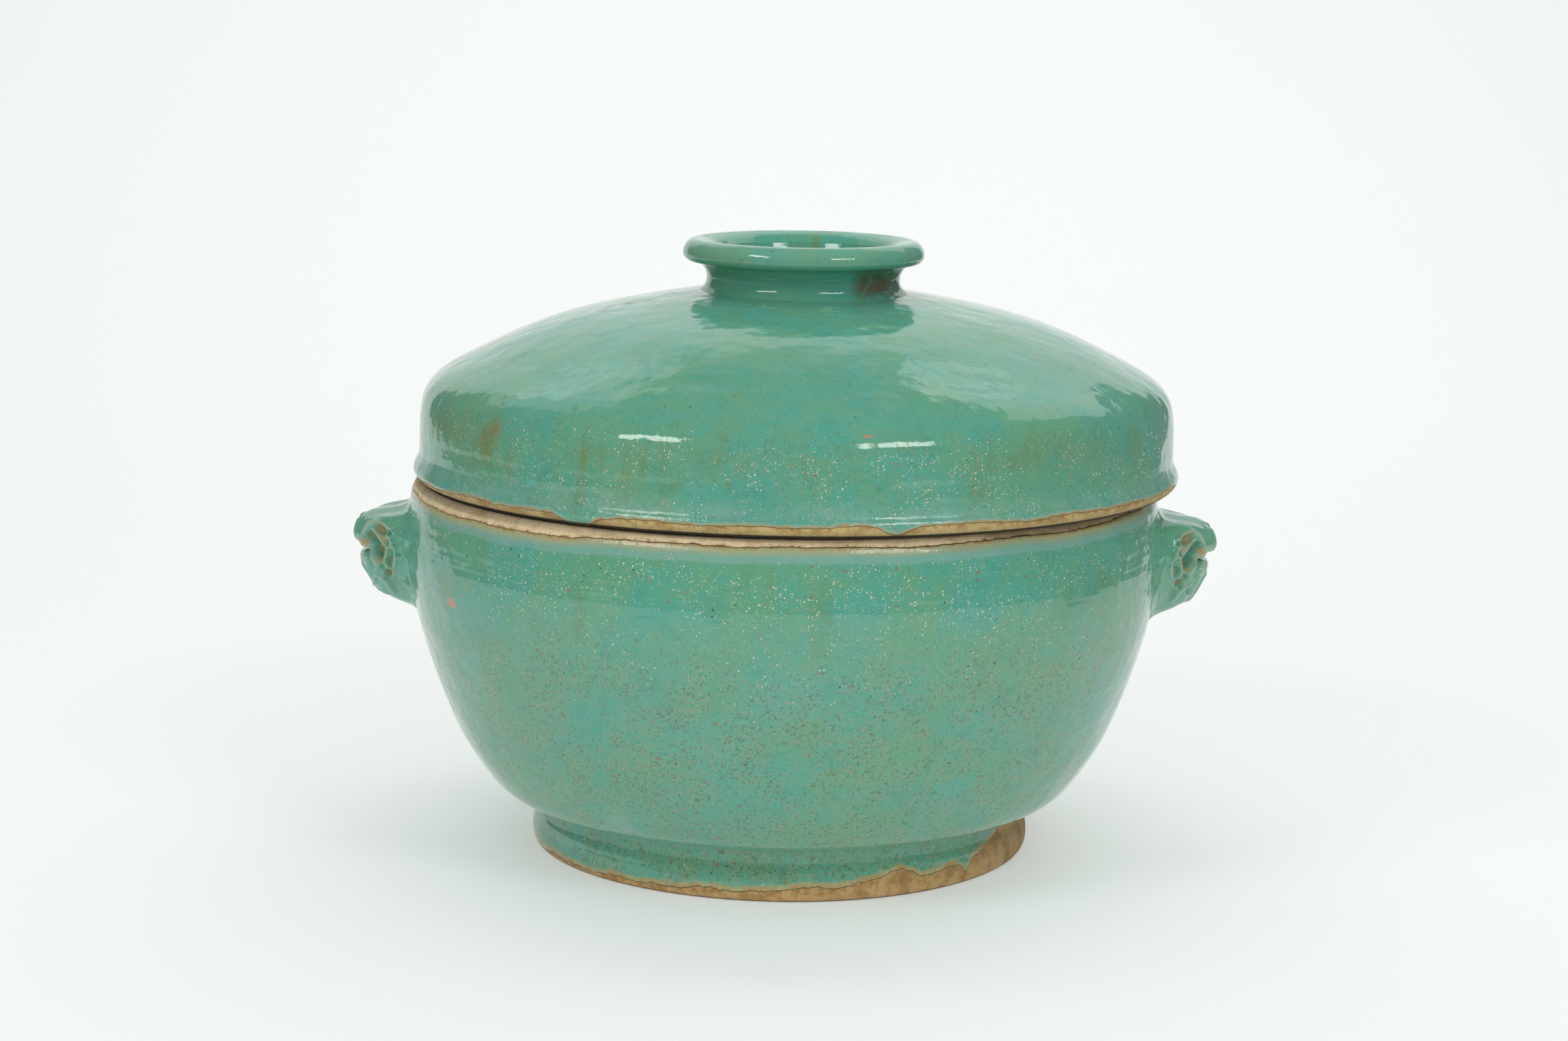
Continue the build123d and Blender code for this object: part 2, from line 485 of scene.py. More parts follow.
def ramp(value, low, high):
    # rises evenly from 0 at low to 1 at high, or falls where high is the lower of the two
    return np.clip((value - low) / (high - low), 0, 1)


def fromFront(turn):
    # degrees from the front, which faces -y, growing towards +x
    return np.degrees(np.arctan2(np.cos(turn), -np.sin(turn)))


def around(turn, stops):
    # a value that runs evenly round the pot between stops, each (degrees from the front, value)
    spots, values = np.array(sorted(stops), float).T
    spots = np.r_[spots[-1] - 360, spots, spots[0] + 360]
    values = np.r_[values[-1], values, values[0]]
    return np.interp(fromFront(turn), spots, values)


def wave(turn, parts):
    # the sum of size * cos(count * angle + phase) over its parts
    return sum(size * np.cos(count * turn + phase) for size, count, phase in parts)


def marked(turn, height, spots):
    # soft spots: the largest of strength * exp(-(angle / wide)^2 - (height / high)^2), each spot
    # being (degrees from the front, height, half width in degrees, half height, strength)
    total = np.zeros(np.broadcast_shapes(turn.shape, height.shape))
    for middle, level, wide, high, strength in spots:
        apart = (fromFront(turn) - middle + 180) % 360 - 180
        spot = strength * np.exp(-(apart / wide) ** 2 - ((height - level) / high) ** 2)
        total = np.maximum(total, spot)
    return total


# bare, in mm past the glaze's edge, where that edge is far away
allClay, allGlaze = 3.0, -9.0


def dress(piece, shape, glazeName, bare, painted):
    # the seven numbers that the glaze reads at each point, 0 where none is given, and the
    # piece's glaze, where its own look goes over the common one
    values = {"bare": bare, "bloom": 0.0, "stain": 0.0, "hollow": 0.0, "dirtAndShade": 0.0, "olive": 0.0,
              "chip": 0.0, **painted}
    for name, numbers in values.items():
        paint(piece, name, np.broadcast_to(numbers, bare.shape))
    piece.data.materials.append(glazed(glazeName, {**commonLook, **shape["look"]}))


def spotted(turn, height, shape):
    # the soft spots that a piece's own dictionary gives
    return {name: marked(turn, height, shape[name])
            for name in ("olive", "chip", "stain") if name in shape}


def finishTurned(piece, body, node, shape, glazeName, bare, painted):
    # a turned piece's numbers and glaze, the body it rides on, and the hidden imported node it
    # stands in for
    dress(piece, shape, glazeName, bare, painted)
    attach(piece, body)
    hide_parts(node)


bowlLow, bowlHigh = (np.array(corner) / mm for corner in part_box("bowl"))
footLow, footHigh = (np.array(corner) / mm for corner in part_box("foot_ring"))
lidLow, lidHigh = (np.array(corner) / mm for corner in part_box("lid"))
flangeLow, flangeHigh = (np.array(corner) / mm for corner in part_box("lid_flange"))
knobLow, knobHigh = (np.array(corner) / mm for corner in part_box("lid_knob"))
rimZ = bowlHigh[2]
footZ = bowlLow[2]
belly = bowlHigh[0]
footR = footHigh[0]
lidX = (lidLow[0] + lidHigh[0]) / 2
lidR = (lidHigh[0] - lidLow[0]) / 2
crownZ = lidHigh[2]
flangeR = (flangeHigh[0] - flangeLow[0]) / 2 - 0.3
flangeBore = flangeR - 5.2
flangeFoot, flangeTop = flangeLow[2], flangeHigh[2]
knobX = (knobLow[0] + knobHigh[0]) / 2
knobR = (knobHigh[0] - knobLow[0]) / 2
knobZ = knobHigh[2]

# outlines are (radius, height) in mm; lists of five numbers are spots for marked
bowlShape = {
    "wall": [(footR - 0.8, footZ), (89, 18.2), (94.6, 20.6), (98.6, 24.2), (101.8, 28.4),
             (107.8, 37.5), (113.9, 50.6), (119.4, 65.5), (123.9, 81.5), (belly - 0.4, 98),
             (belly - 0.9, 109), (belly - 1.8, 117)],
    "rim": [(belly - 1.8, 117), (belly - 2.3, 119.6), (belly - 3.4, 121.8), (rimZ - 1.6, 123.3),
            (120.6, rimZ - 0.1), (119, rimZ)],
    "lip": [(119, rimZ), (117.6, rimZ - 0.15), (116.7, rimZ - 0.9), (116.5, rimZ - 2.4)],
    "inside": [(116.5, rimZ - 2.4), (118.3, 112), (119.9, 98), (117.2, 82), (112.6, 67.5),
               (101.3, 41), (92, 32), (80, 27), (60, 25.2), (30, 25), (2, 25)],
    "under": [(2, footZ), (footR - 0.8, footZ)],
    "angles": 384,
    "wander": {"size": 0.35, "phase": 0.6},
    "edge": [(-180, 121.8), (-110, 121.4), (-80, 120), (-35, 120.5), (-12, 121.6), (5, 121.9),
             (24, 121.5), (60, 122)],  # height of the glaze's edge
    "edgeWaves": [(0.25, 7, 1), (0.18, 13, 0.4), (0.12, 29, 2)],
    "insideEdge": rimZ - 3.2,
    "underBare": footR - 1.2,  # bare clay inside this radius
    # painted shade on the rim's outer slope where the lid overhangs it, by degrees from the front
    "rimShade": [(-180, 0), (-100, 0.3), (-80, 0.45), (-50, 0.4), (-30, 0.15), (-15, 0),
              (25, 0), (34, 0.4), (45, 0.55), (75, 0.5), (100, 0)],
    "rimShadeHeight": (121.4, 122.2),
    # painted shade of the gap under the lid, with some grime, in a ring on the rim where the lid
    # sits
    "seatShadeAndDirt": {"radius": 120.5, "solid": 1, "faded": 1.7, "above": 120, "strength": 0.85},
    "bloom": {"height": 118, "half": 3.5, "strength": 0.2},
    "clouds": [(-29, 27, 4, 4.5, 1.6)],
    "stain": [(-34, 119.6, 2.4, 0.6, 0.9), (27, 119.8, 0.6, 0.4, 0.8)],
    "olive": [(52.5, 104, 1.6, 3.6, 0.9), (53, 96, 0.8, 9, 0.5),
              (-58, 98, 3, 6, 0.4), (49, 99, 7, 5, 0.3)],
    "chip": [(-56.5, 92.3, 1.6, 1.9, 1), (49, 90.5, 0.35, 1, 0.9),
              (-25.5, 47.5, 0.5, 0.7, 0.9)],
    "look": {"shift": 3, "ragged": 1.1, "pinholeZone": (86, 122, 26), "pinholes": 0.95,
             "runs": 0.3, "runZone": (84, 122), "specks": 0.42, "thinEdge": 3.6,
             "rings": 0.22, "murk": 0.1, "stain": (0.5, 0.31, 0.17), "speckle": 1,
             "speckleTop": 98, "clay": (0.86, 0.7, 0.43), "toast": (0.6, 0.43, 0.22),
             "smear": 1},
}


def makeBowl():
    # bare = height - edge outside, so the clay starts above a wavy line, and height - insideEdge
    # inside; painted shade with some grime where the lid sits, and painted shade round the rim
    # where the lid overhangs it
    shape, seat, bloom = bowlShape, bowlShape["seatShadeAndDirt"], bowlShape["bloom"]
    outer = outline((shape["under"], 10), (shape["wall"], 110), (shape["rim"], 26))
    inner = outline((shape["lip"], 12), (shape["inside"], 70))
    line = np.vstack([outer, inner[1:]])
    piece, turn, height = turned("bowl_body", line, 0.0, shape, poles=(True, True))
    radius = np.broadcast_to(line[None, :, 0], turn.shape)
    outside = np.arange(len(line))[None, :] < len(outer) - 1
    edge = around(turn, shape["edge"]) + wave(turn, shape["edgeWaves"])
    bare = np.where(outside, height - edge, height - shape["insideEdge"])
    bare = np.where((radius < shape["underBare"]) & outside, allClay, bare)
    milky = ramp(np.abs(height - bloom["height"]), bloom["half"], 0.0) * bloom["strength"]
    # painted shade of the lid's gap, with some grime, in a ring where the lid sits
    ring = ramp(np.abs(radius - seat["radius"]), seat["faded"], seat["solid"])
    ring = ring * (height > seat["above"]) * seat["strength"]
    # painted shade on the rim under the lid's overhang
    rimShade = around(turn, shape["rimShade"]) * ramp(height, *shape["rimShadeHeight"])
    finishTurned(piece, "bowl_body", "bowl", shape, "glaze_bowl", bare,
                 {"bloom": milky * outside + marked(turn, height, shape["clouds"]),
                  "dirtAndShade": np.maximum(ring, rimShade) * outside, **spotted(turn, height, shape)})


footShape = {
    "outer": [(footR - 2.1, 0), (footR - 1.2, 0.35), (footR - 0.4, 1.6), (footR, 4.8),
              (footR - 0.6, 9), (footR - 1.6, 13), (footR - 1, 16.2), (footR + 0.8, 18.4)],
    "inner": [(footR + 0.8, 18.4), (73.2, 18.4), (73, 17), (74, 1.6), (74.7, 0.3),
              (75.8, 0)],
    "base": [(75.8, 0), (footR - 2.1, 0)],
    "angles": 384,
    "wander": {"size": 0.25, "phase": 1.9},
    "edge": [(-180, 3), (-150, 4), (-120, 3), (-90, 1.6), (-62, 2.2), (-40, 2.4),
             (-22, 3.2), (-4, 4), (8, 5), (20, 6.4), (27, 9), (33, 6.2), (39, 7.4),
             (44, 6.6), (46, 3.6), (48, 7.5), (54, 10), (62, 15.5), (68, 19), (104, 19.5),
             (120, 11), (146, 5)],  # height of the glaze's edge
    "edgeWaves": [(0.35, 17, 0.3), (0.3, 31, 1)],
    # painted contact shade along the foot's base
    "toeShade": {"faded": 0.9, "solid": 0.4, "strength": 0.8},  # between these heights
    # painted shade: a darker patch on the foot's right side
    "dirtAndShade": [(70, 8, 22, 10, 0.22)],
    "look": {"shift": 57, "ragged": 2.2, "pinholeZone": (0, 20, 6), "pinholes": 0.12,
             "runZone": (-20, 40), "specks": 0.9, "thinEdge": 2.4, "milkEdge": 0,
             "amberEdge": 1.5, "rings": 0.25, "murk": 0.42, "speckle": 1, "speckleTop": 100,
             "clay": (0.53, 0.345, 0.145), "toast": (0.25, 0.135, 0.045), "smear": 6},
}


def makeFoot():
    # bare = edge - height, so the clay lies below a ragged line that rises to the right; the
    # ring's inside and base are bare
    shape, toe = footShape, footShape["toeShade"]
    outer = outline((shape["outer"], 90))
    line = np.vstack([outer, outline((shape["inner"], 60), (shape["base"], 20))[1:-1]])
    piece, turn, height = turned("foot_ring_body", line, 0.0, shape, closedRing=True)
    edge = around(turn, shape["edge"]) + wave(turn, shape["edgeWaves"])
    outside = np.arange(len(line))[None, :] < len(outer)
    bare = np.where(outside, edge - height, allClay)
    # painted contact shade darkens the foot towards its base
    dirtAndShade = ramp(height, toe["faded"], toe["solid"]) * toe["strength"]
    finishTurned(piece, "bowl_body", "foot_ring", shape, "glaze_foot", bare,
                 {"dirtAndShade": dirtAndShade + marked(turn, height, shape["dirtAndShade"])})


lidShape = {
    "bead": [(lidR - 3.9, rimZ + 0.15), (lidR - 2.3, rimZ + 0.5), (lidR - 0.9, rimZ + 1.5),
             (lidR - 0.15, rimZ + 3.2), (lidR - 0.6, rimZ + 5), (lidR - 1.5, rimZ + 6.6),
             (lidR - 2.1, rimZ + 8.6)],
    "crown": [(lidR - 2.1, rimZ + 8.6), (lidR - 2.2, 139), (lidR - 2.5, 146), (124.5, 149.5),
              (123.6, 152.6), (121.9, 155.4), (119.4, 157.9), (115.8, 160.4), (111.4, 162.8),
              (106.2, 165.4), (94.1, 171.2), (84.6, 175), (73.9, 178.4), (57.4, 182.2),
              (39.7, 185.4), (20, 187.7), (2, crownZ)],
    "inside": [(2, crownZ - 7), (34, 179.3), (66.2, 173.2), (94, 163.2), (110.5, 154.5),
               (117, 146), (118.2, 137.5), (115.5, 134), (109, 130), (106, 126.5)],
    "seat": [(106, 126.5), (106, rimZ + 0.15), (lidR - 3.9, rimZ + 0.15)],
    "angles": 384,
    "wander": {"size": 0.3, "phase": 2.7},
    "edge": rimZ + 4.1,  # height of the glaze's edge
    "edgeWaves": [(0.3, 5, 0.4), (0.25, 11, 2), (0.25, 23, 0.7)],
    "tongues": [(-31.5, 0, 2.6, 1, 4.2), (13.5, 0, 2.4, 1, 3.2),
                (-70, 0, 30, 1, 1.5), (80, 0, 9, 1, 1.6),
                (-47, 0, 1.6, 1, 1.4)],  # mm that glaze runs below it
    "insideEdge": 128,
    "bareInside": 4,  # points of inside before seat
    "bloom": {"height": rimZ + 7.4, "half": 4.6},
    # painted shade of the gap, with some grime, under the lid's outer edge where it sits on the rim
    "seatShadeAndDirt": {"faded": rimZ + 1.45, "solid": rimZ + 0.95, "from": lidR - 6.5,
                 "full": lidR - 4, "strength": 1.5},
    # the lid's outside darker towards its lower edge
    "beadDarkening": {"faded": rimZ + 3, "solid": rimZ + 1, "strength": 0.3},
    "olive": [(-50, 145, 2.2, 8, 0.9), (-44.5, 141, 1, 7, 0.6),
              (-53, 143, 6, 9, 0.45), (-62, 147, 11, 7, 0.6),
              (-10, 147, 9, 4, 0.3), (-31, 146.5, 1.3, 4, 0.8),
              (-24, 143, 0.7, 8, 0.5), (-17, 139, 0.8, 1.4, 0.8),
              (-9.5, 140.5, 0.7, 1.2, 0.7), (1.5, 148.5, 0.5, 1, 0.9),
              (6, 151.5, 0.4, 1, 0.7), (33, 146, 5, 4, 0.5),
              (44, 146, 13, 8, 0.32), (58, 146, 2, 6, 0.6),
              (26, 137, 0.6, 1.5, 0.7), (16, 152, 3, 2, 0.4)],
    "scuffs": [(-77, 182.2, 3.2, 0.45, 0.7), (-73.5, 180.4, 2.6, 0.3, 0.6),
               (-74, 183.5, 2.2, 0.25, 0.6), (-82, 181.2, 2, 0.3, 0.5)],
    "chip": [(9.8, 154.8, 0.65, 0.9, 1), (62.4, 137.4, 0.22, 3.4, 0.85)],
    "stain": [(-48.2, 150, 0.9, 3, 0.9), (-50.4, 146.5, 0.8, 3.4, 0.5)],
    "look": {"shift": 23, "ragged": 1.3, "pinholeZone": (122, 153, 6), "pinholes": 0.95,
             "runs": 0.45, "runZone": (126, 158), "specks": 0.16, "thinEdge": 0.8,
             "rings": 0.18, "murk": 0.12, "stain": (0.28, 0.16, 0.05), "speckle": 0.5},
}


def makeLid():
    # bare = edge - height outside, with tongues where the glaze ran down, and insideEdge - height
    # under the dome; the seat and the last of the dome before it are bare
    shape, bloom = lidShape, lidShape["bloom"]
    seat, bead = shape["seatShadeAndDirt"], shape["beadDarkening"]
    inner = outline((shape["inside"], 60))
    ledge = outline((shape["seat"][:2], 4), (shape["seat"][1:], 12))
    under = np.vstack([inner, ledge[1:]])
    line = np.vstack([under, outline((shape["bead"], 30), (shape["crown"], 120))[1:]])
    piece, turn, height = turned("lid_body", line, lidX, shape, poles=(True, True))
    order = np.arange(len(line))[None, :]
    outside = order >= len(under) - 1
    edge = shape["edge"] + wave(turn, shape["edgeWaves"])
    edge = edge - marked(turn, np.zeros(1), shape["tongues"])
    below = np.where(order >= len(inner) - shape["bareInside"], allClay,
                     shape["insideEdge"] - height)
    bare = np.where(outside, edge - height, below)
    milky = ramp(np.abs(height - bloom["height"]), bloom["half"], 0.0) * outside
    # painted shade of the gap, with some grime, on the underside's outer edge
    dirtAndShade = ramp(height, seat["faded"], seat["solid"]) * (order >= len(inner)) * seat["strength"]
    dirtAndShade = dirtAndShade * ramp(line[None, :, 0], seat["from"], seat["full"])
    # the lid's outside darker towards its lower edge
    dirtAndShade = dirtAndShade + outside * ramp(height, bead["faded"], bead["solid"]) * bead["strength"]
    finishTurned(piece, "lid_body", "lid", shape, "glaze_lid", bare,
                 {"bloom": milky, "dirtAndShade": dirtAndShade + marked(turn, height, shape["scuffs"]),
                  **spotted(turn, height, shape)})


flangeShape = {
    "ring": [(flangeR, flangeTop + 1), (flangeR, flangeTop - 2),
             (flangeR - 0.5, flangeFoot + 2.5), (flangeR - 1.6, flangeFoot + 0.5),
             ((flangeR + flangeBore) / 2, flangeFoot + 0.1),
             (flangeBore + 0.8, flangeFoot + 0.6), (flangeBore, flangeFoot + 2.5),
             (flangeBore, flangeTop + 1)],
    "closing": [(flangeR, flangeTop + 1.2), (flangeBore, flangeTop + 1.2)],
    "angles": 256,
    "wander": {"size": 0.15, "phase": 0.2},
    "look": {"shift": 71, "runs": 0},
}


def makeFlange():
    # a ring of bare clay all over
    shape = flangeShape
    line = np.vstack([outline((shape["ring"], 60))[::-1], outline((shape["closing"], 8))])
    piece, turn, height = turned("lid_flange_body", line, lidX, shape, closedRing=True)
    finishTurned(piece, "lid_body", "lid_flange", shape, "clay_flange",
                 np.full(turn.shape, allClay), {})


knobShape = {
    "neck": [(37.5, 183.5), (34.4, 186.3), (32.6, 188.2), (32.1, 190.6), (32.8, 193.2),
             (34.6, 195.2), (36.6, 196)],
    "lip": [(36.6, 196), (38.6, 196.3), (knobR - 0.25, 197.6), (knobR, 199.3), (39.4, 201.3),
            (37.9, knobZ - 0.6), (35.9, knobZ - 0.1), (33.4, knobZ - 0.5), (30.4, 201.8),
            (28.6, 200)],
    "bore": [(28.6, 200), (27.6, 197), (27, 192.5), (26, 189), (23.5, 187.7), (21, 186)],
    "closing": [(21, 184.5), (36.5, 182.5)],
    "angles": 320,
    "wander": {"size": 0.35, "phase": 4},
    "stained": [(-180, 0), (26, 0), (34, 0.9), (50, 1), (66, 0.8), (80, 0.4), (95, 0)],
    "stainBand": {"height": 191.2, "solid": 2.52, "faded": 6.12},
    "neckHollow": {"height": 190.5, "half": 6.5, "depth": 0.7, "onLip": 2},
    "lipRaised": {"from": 196.5, "full": 198, "beyond": 35, "rise": 0.32},
    "olive": [(57, 197.6, 1, 1.5, 0.9)],
    "look": {"shift": 91, "runZone": (150, 230), "specks": 0.22, "rings": 0.15,
             "murk": 0.1, "stain": (0.105, 0.065, 0.025), "speckle": 0.35},
}


def makeKnob():
    # glazed all over: deep round the neck and the lip's first points, thin on the rest of the
    # lip, with a brown stain on one side of the neck
    shape, band = knobShape, knobShape["stainBand"]
    neck, lip = shape["neckHollow"], shape["lipRaised"]
    neckLine = outline((shape["neck"], 60))
    rest = outline((shape["lip"], 80), (shape["bore"], 50))
    line = np.vstack([neckLine, rest[1:], outline((shape["closing"], 8))])
    piece, turn, height = turned("lid_knob_body", line, knobX, shape, closedRing=True)
    stain = ramp(np.abs(height - band["height"]), band["faded"], band["solid"])
    hollow = ramp(np.abs(height - neck["height"]), neck["half"], 0.0) * neck["depth"]
    hollow = hollow * (np.arange(len(line))[None, :] < len(neckLine) + neck["onLip"])
    raised = ramp(height, lip["from"], lip["full"]) * (line[None, :, 0] > lip["beyond"])
    finishTurned(piece, "lid_body", "lid_knob", shape, "glaze_knob",
                 np.full(turn.shape, allGlaze),
                 {"stain": around(turn, shape["stained"]) * stain,
                  "hollow": hollow - raised * lip["rise"], **spotted(turn, height, shape)})


# both masks: middle is the (reach, height) line down the face, width its half width at heights,
# and section how far across it (1 = the width) a share of the reach is left; what is modelled on
# it is (bent line, width, rise), all in mm
maskShape = {
    "middle": [(125.4, 117), (126.2, 114.6), (127.6, 113), (131.5, 111.7), (136, 111.1),
               (139.8, 110.3), (142, 109.1), (143.3, 107.7), (144.2, 105.2), (144.3, 103.5),
               (143.7, 101.9), (142.5, 100.4), (141, 99.3), (141.9, 98), (142.9, 96.2),
               (142.8, 94.3), (141.7, 92.5), (140.2, 90.3), (138, 87), (136, 84.2),
               (133.2, 81.9), (129, 80.2), (125.2, 78.9), (122.6, 76)],
    "width": [(76, 9), (79.4, 13), (83, 16.5), (90, 19.5), (98, 21), (105, 21),
              (109.5, 19.5), (112.5, 17), (117, 12)],
    "section": [(0, 1), (0.22, 0.99), (0.42, 0.94), (0.58, 0.84), (0.7, 0.7), (0.79, 0.54),
                (0.87, 0.38), (0.95, 0.24), (1.05, 0.12), (1.2, 0.035), (1.38, 0),
                (1.55, -0.01)],
    # on the flanks, by reach and height: fine raised lines, then broad lobes and pits
    "ridges": [
        ([(140.6, 103.4), (138.5, 107.3), (135.7, 108.9), (132, 107.9)], 0.55, 0.75),
        ([(137, 105.6), (134.9, 104), (132.7, 102.3), (131.4, 101)], 0.55, 0.9),
        ([(140.2, 100.6), (138.9, 98.4), (137.6, 94.9), (136.8, 91.8)], 0.6, 0.8),
        ([(131.6, 106.9), (131.9, 104.9), (129.9, 103.3), (128.5, 100.4), (128.1, 97.2),
          (129, 94.6)], 0.6, 0.9),
        ([(130.5, 101.2), (131.9, 99.2), (132.1, 96.3), (131.1, 93.9), (129.6, 91.2)], 0.6, 0.8),
        ([(133.4, 90.9), (131.5, 89), (129.4, 85.4)], 0.6, 0.7),
        ([(132.6, 107.6), (130.2, 106.9), (129.7, 104.9), (131.4, 104.3)], 0.5, 0.6),
        ([(135, 91.2), (136.6, 90), (136.4, 87)], 0.6, 0.5),
    ],
    "broad": [
        ([(137.6, 104.2), (135.4, 101.2), (134.2, 98.8)], 1.6, -2),
        ([(134.6, 107), (133, 106.4)], 1.4, -1.3),
        ([(140, 102.4), (138.2, 100.6), (135.8, 97.8), (133.2, 95.6)], 1.1, 0.9),
        ([(141.6, 99.6), (138.5, 99.4)], 0.9, -1.3),
        ([(139.9, 97.2), (139.2, 95.4)], 1.7, 0.9),
        ([(135.8, 96.6), (134.8, 95.2)], 1.6, 0.8),
        ([(134.9, 92.4), (134, 91.6)], 1.7, 0.8),
        ([(133.2, 87.8), (132.2, 86.2)], 2.4, 0.9),
        ([(131.1, 92.6), (130.9, 91.9)], 1.1, -1.3),
        ([(130.4, 96.9), (130.3, 95.2)], 1, -1),
        ([(129.8, 102.2), (129.6, 101.6)], 1.2, 0.6),
        ([(131, 105.6), (130.8, 105.5)], 0.8, -0.7),
        ([(133.6, 98.6), (133, 94.6)], 0.8, -1),
        ([(138.4, 92.6), (135.4, 88.6)], 1.2, -0.7),
    ],
    # on the front, by distance from the middle and height
    "front": [
        ([(3.4, 104.6), (3.9, 104.2)], 1.1, -1.3),
        ([(0, 99.3), (7.5, 99)], 0.9, -0.6),
        ([(0, 108.6), (0, 105.6)], 1, -0.5),
        ([(5.2, 107.6), (6.8, 104.4), (5.8, 102.2)], 1.2, 0.8),
        ([(2.6, 93.4), (3, 85)], 0.9, -0.7),
        ([(5.2, 92.6), (6.6, 85)], 1.3, 0.7),
    ],
    "amber": [(134, 106.8, 2), (132.6, 103.6, 1.3), (131, 92.3, 1.3), (139.2, 102, 1.2),
              (133.4, 96.6, 0.9)],
    "frontFrom": 134,  # the front's lines start at this reach
    "flankFrom": (3, 7),  # mm off the middle where flanks begin and are full
    "ends": ((77, 80.5), (116.6, 114.6)),  # heights where the face fades in, and out
    "edge": (1.5, 1.15),  # where its two sides do, in half widths
    "inset": 0.9,  # mm that its border sits inside the wall
    "lumps": {"size": 0.3, "turns": 0.4},
    "strength": 1.5,  # times what is modelled
    "hollow": 1.4,  # times the depth that the glaze pools in
    "blurs": {"relief": 4, "normal": 30, "hollow": 40},
    "lifted": (0, 0.5),  # shares of the reach, from and to
    "reached": (0, 6),  # mm out from the wall
    "bloomed": (0, 0.25),
    "milky": {"full": 96, "from": 102, "least": 0.35, "strength": 0.9},
    "right": {"reach": 0.4, "lift": 0.5, "wobble": 1.3},
    "left": {"reach": -0.3, "lift": -0.5, "wobble": 4.1},
    "look": {"shift": 3, "ragged": 0.5, "pinholeZone": (72, 120, 6), "pinholes": 0.3,
             "runs": 0.35, "runZone": (84, 122), "specks": 0.42, "rings": 0, "murk": 0.15,
             "stain": (0.42, 0.3, 0.12), "speckle": 0.5, "speckleTop": 100,
             "clay": (0.56, 0.44, 0.25), "toast": (0.36, 0.24, 0.11), "smear": 1.2},
}


def nearLine(across, height, points):
    # shortest distance in mm from every grid point to a bent line
    nearest = np.full(across.shape, 1e9)
    for (y0, z0), (y1, z1) in zip(points[:-1], points[1:]):
        run, rise = y1 - y0, z1 - z0
        along = ((across - y0) * run + (height - z0) * rise) / (run * run + rise * rise)
        along = np.clip(along, 0, 1)
        apart = np.hypot(across - y0 - along * run, height - z0 - along * rise)
        nearest = np.minimum(nearest, apart)
    return nearest


def blurred(values, passes):
    # repeated averaging of each grid point with its four neighbours
    for step in range(passes):
        wide = np.pad(values, 1, mode="edge")
        values = (wide[:-2, 1:-1] + wide[2:, 1:-1] + wide[1:-1, :-2] + wide[1:-1, 2:]) / 4
    return values


def modelled(shape, x, y, z, flank):
    # the sum of rise * exp(-(distance / width)^power): power 2 for fine lines, 4 for broad ones
    relief = np.zeros(x.shape)
    for key, power in (("ridges", 2), ("broad", 4)):
        for points, wide, rise in shape[key]:
            relief = relief + flank * rise * np.exp(-(nearLine(x, z, points) / wide) ** power)
    onFront = x > shape["frontFrom"]
    for points, wide, rise in shape["front"]:
        relief = relief + rise * np.exp(-(nearLine(y, z, points) / wide) ** 2) * onFront
    return relief


def makeMask(name, node, side, key):
    # the wall's own curve, plus the middle line's reach times the section's share across,
    # then everything modelled on it pushed along the surface's normal
    shape, own, blurs = maskShape, maskShape[key], maskShape["blurs"]
    milky, lumps = shape["milky"], shape["lumps"]
    middle = smoothLine(shape["middle"], 270)
    wall = smoothLine(bowlShape["wall"], 400)
    spread = np.array([20, 17])  # mm, so that the section's points lie evenly on it
    half = smoothLine(np.array(shape["section"]) * spread, 150)
    section = np.vstack([half[:0:-1] * (-1, 1), half]) / spread
    reach, height = middle[:, :1], middle[:, 1:]
    across = section[None, :, 0] * np.interp(height, *np.array(shape["width"]).T)
    share = section[None, :, 1] + np.zeros(across.shape)
    radius = np.interp(height, wall[:, 1], wall[:, 0])
    turn = np.arctan2(side * across, side * radius)
    surface = radius + handThrown(turn, height, radius, bowlShape["wander"])
    depth = reach - radius + own["reach"] * ramp(reach - radius, *shape["reached"])
    inner = ramp(np.abs(section[None, :, 0]), *shape["edge"])
    inner = inner * (ramp(height, *shape["ends"][0]) * ramp(height, *shape["ends"][1]))
    x = np.sqrt(surface**2 - across**2) + np.maximum(depth, 0) * share
    x = x - shape["inset"] * (1 - inner)
    y, z = np.abs(across), np.broadcast_to(height, x.shape)
    flank = ramp(y, *shape["flankFrom"])
    lumpy = (np.sin(across * lumps["turns"] + own["wobble"])
             * np.sin(height * lumps["turns"] + own["wobble"]))
    relief = modelled(shape, x, y, z, flank) + lumps["size"] * lumpy
    relief = blurred(relief * inner * shape["strength"], blurs["relief"])
    base = np.stack([x, across, z + own["lift"] * ramp(share, *shape["lifted"])], -1)
    normal = np.cross(np.gradient(base, axis=0), np.gradient(base, axis=1))
    normal = normal / np.linalg.norm(normal, axis=-1, keepdims=True)
    normal = np.stack([blurred(normal[..., i], blurs["normal"]) for i in range(3)], -1)
    points = (base + relief[..., None] * normal) * np.array([side, side, 1.0]) * mm
    piece = gridMesh(name, points, False, False)
    amber = np.zeros(x.shape)
    for spotX, spotZ, size in shape["amber"]:
        apart = np.hypot(x - spotX, z - spotZ) / size
        amber = np.maximum(amber, flank * np.exp(-apart**4))
    low = milky["least"]
    pale = low + (1 - low) * ramp(z, milky["from"], milky["full"])
    pale = pale * ramp(share, *shape["bloomed"]) * milky["strength"]
    hollow = (blurred(relief, blurs["hollow"]) - relief) * shape["hollow"]
    dress(piece, shape, "glaze_" + key, np.full(x.shape, allGlaze),
          {"hollow": hollow, "bloom": pale, "stain": amber})
    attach(piece, "bowl_body")
    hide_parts(node)


